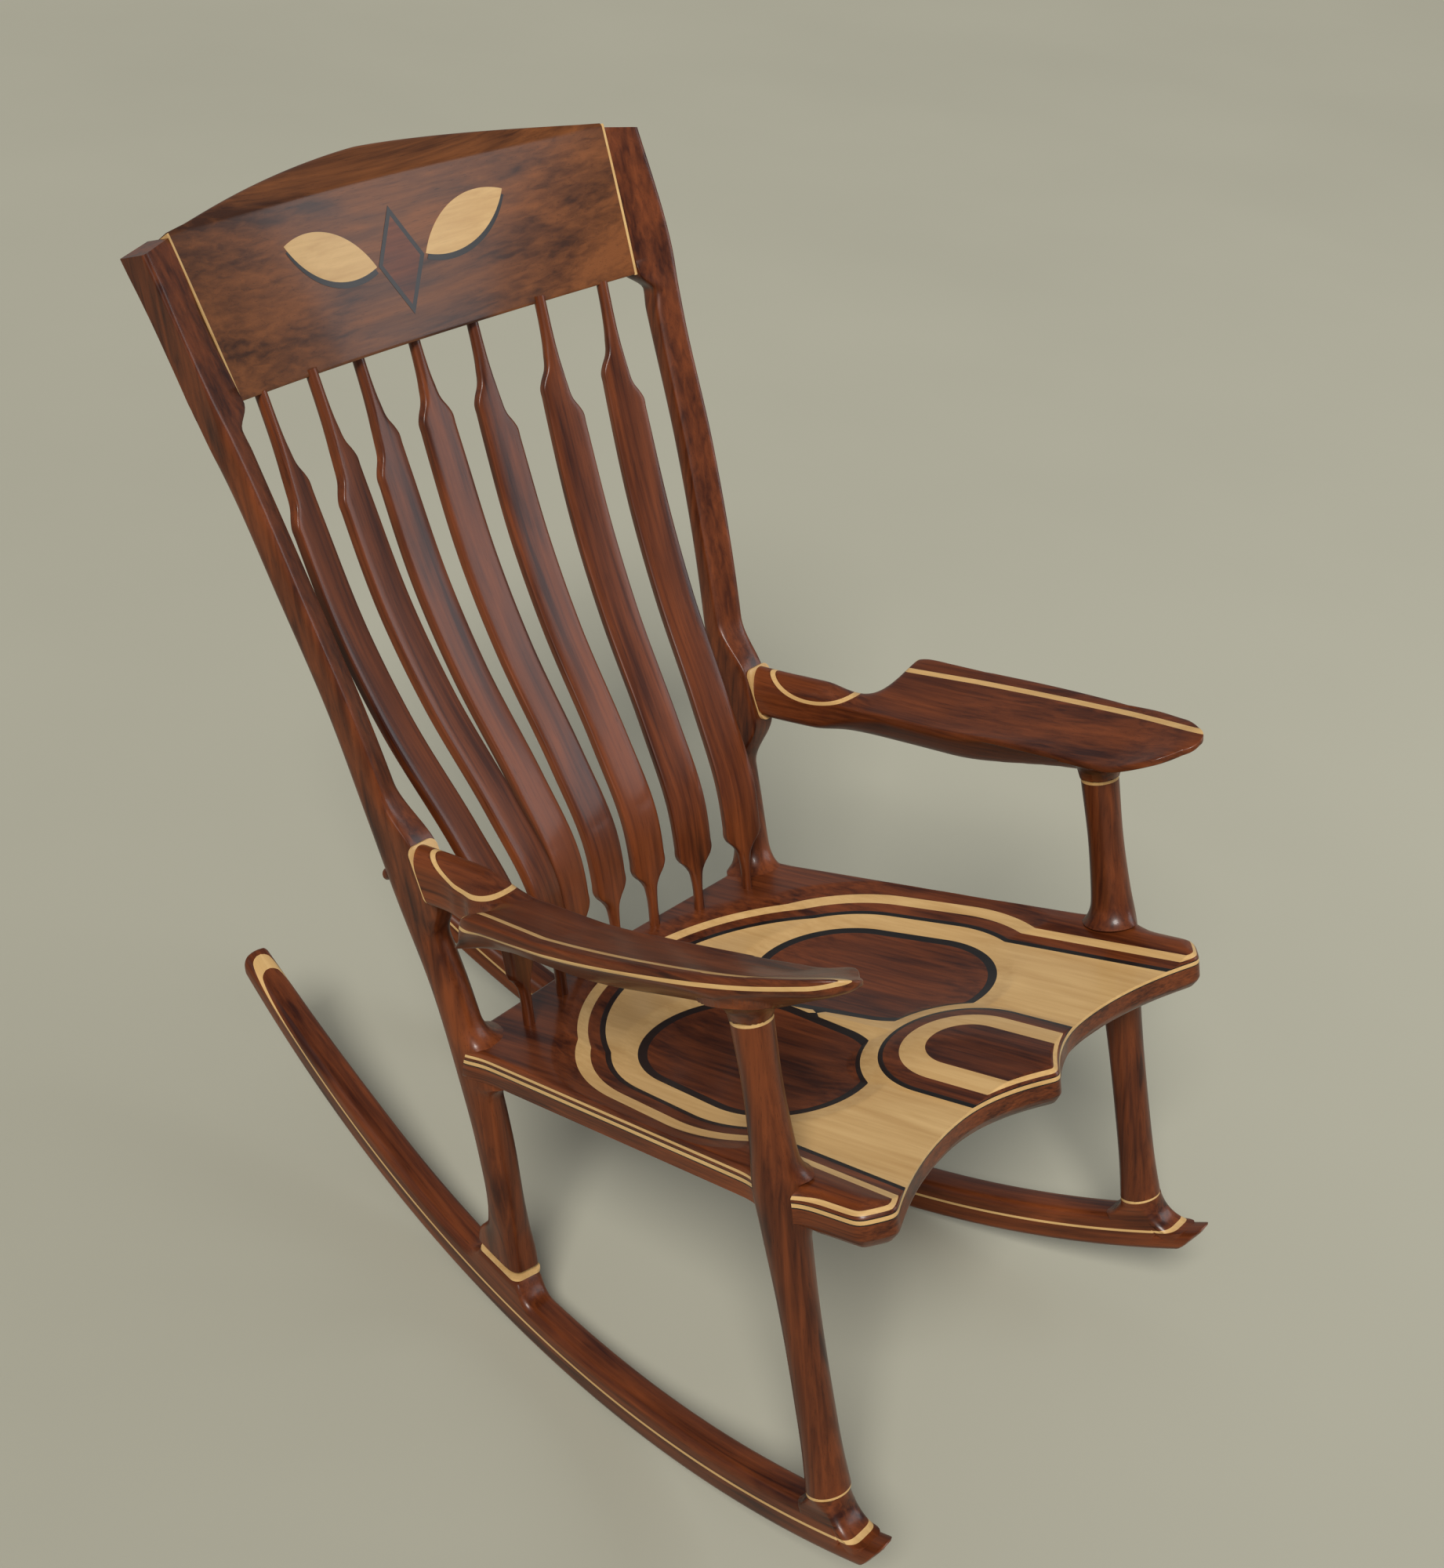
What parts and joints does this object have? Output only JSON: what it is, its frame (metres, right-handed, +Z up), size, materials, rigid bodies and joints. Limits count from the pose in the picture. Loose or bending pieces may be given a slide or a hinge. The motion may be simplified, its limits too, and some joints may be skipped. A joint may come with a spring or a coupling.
{
  "type": "rocking chair",
  "caption": "Sculpted wooden rocking chair with a dished seat, curved crest rail, flat bent back slats, paddle arms and long curved rockers with pale stringing.",
  "frame": {"origin": "on the floor under the middle of the chair's box", "axes": "+X towards the sitter's left, the front of the chair faces -Y, +Z up"},
  "size_m": [0.722, 1.0686, 1.1271],
  "materials": {
    "walnut": "satin oil and varnish",
    "maple": "satin oil and varnish",
    "ebony": "satin oil and varnish",
    "steel": "plain"
  },
  "bodies": {
    "root": {"arm_body_left": "walnut", "arm_body_right": "walnut", "arm_cap_left": "walnut", "arm_cap_line_left": "maple", "arm_cap_line_right": "maple", "arm_cap_right": "walnut", "arm_dowels": "maple", "arm_edge_line_left": "maple", "arm_edge_line_right": "maple", "arm_edge_strip_left": "walnut", "arm_edge_strip_right": "walnut", "arm_plate_left": "maple", "arm_plate_right": "maple", "arm_plugs": "walnut", "arm_ring_left": "maple", "arm_ring_right": "maple", "arm_screws": "steel", "back_post_left": "walnut", "back_post_right": "walnut", "crest": "walnut", "crest_dowels": "maple", "crest_veneer_left": "maple", "crest_veneer_right": "maple", "front_foot_ring_left": "maple", "front_foot_ring_right": "maple", "front_leg_left": "walnut", "front_leg_right": "walnut", "inlay_leaf_shadows": "ebony", "inlay_leaves": "maple", "inlay_lozenge": "walnut", "inlay_lozenge_border": "ebony", "leg_dowels": "maple", "rear_foot_ring_left": "maple", "rear_foot_ring_right": "maple", "rocker_line_left": "maple", "rocker_line_right": "maple", "rocker_lower_left": "walnut", "rocker_lower_right": "walnut", "rocker_upper_left": "walnut", "rocker_upper_right": "walnut", "seat_base_walnut": "walnut", "seat_field_maple": "maple", "seat_lower_ebony": "ebony", "seat_middle_walnut": "walnut", "seat_pegs": "maple", "seat_string_maple": "maple", "seat_top_walnut": "walnut", "seat_upper_ebony": "ebony", "slat_1_left": "walnut", "slat_1_right": "walnut", "slat_2_left": "walnut", "slat_2_right": "walnut", "slat_3_left": "walnut", "slat_3_right": "walnut", "slat_middle": "walnut"}
  },
  "joints": []
}
